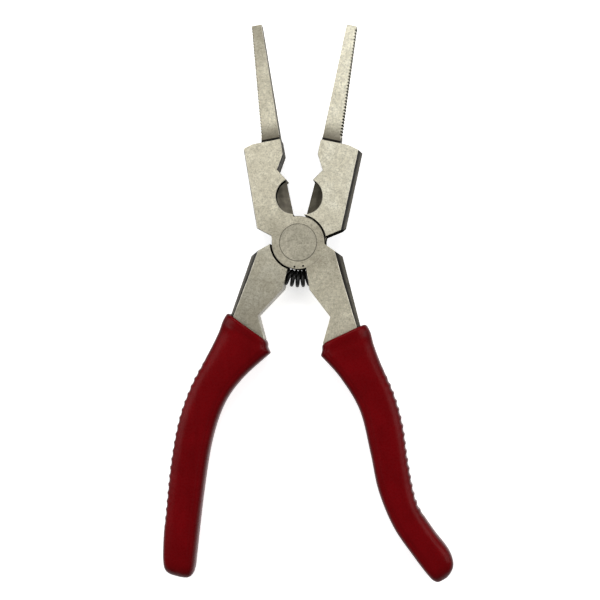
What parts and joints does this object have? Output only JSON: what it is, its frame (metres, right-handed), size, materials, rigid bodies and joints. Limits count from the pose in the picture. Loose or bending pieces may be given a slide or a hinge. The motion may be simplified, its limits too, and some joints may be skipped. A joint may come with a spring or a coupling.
{
  "type": "spring-opened multi-function pliers",
  "caption": "Spring-opened hand pliers with slim flat noses, V and half-round notched jaws, side cutting webs, a lapped riveted pivot and dipped vinyl grips.",
  "frame": {"origin": "on the pivot axis, at the flat back face of the rivet, which is the face the pliers lie on", "axes": "+Z is the pivot axis, from the back face to the front face; +Y points from the pivot to the jaws, along the middle of the opened tool; +X is to the right seen from the front"},
  "size_m": [0.1078, 0.2069, 0.011],
  "materials": {
    "lever_steel": "satin faces with a dark forging skin on the sides",
    "rivet_steel": "satin, ground flush",
    "spring_wire": "black oxide, satin",
    "grip_vinyl": "dark red dipped vinyl, soft gloss"
  },
  "bodies": {
    "front": {"front_lever": "lever_steel", "pivot_rivet": "rivet_steel", "right_grip": "grip_vinyl", "return_spring": "spring_wire"},
    "rear": {"rear_lever": "lever_steel", "left_grip": "grip_vinyl"}
  },
  "joints": [
    {"name": "pivot", "type": "hinge", "parent": "front", "child": "rear", "pos_m": [0, 0, 0], "axis": [0, 0, 1], "range_deg": [0, 22], "stiffness_Nm_per_rad": 3, "deforming": ["return_spring"]}
  ]
}
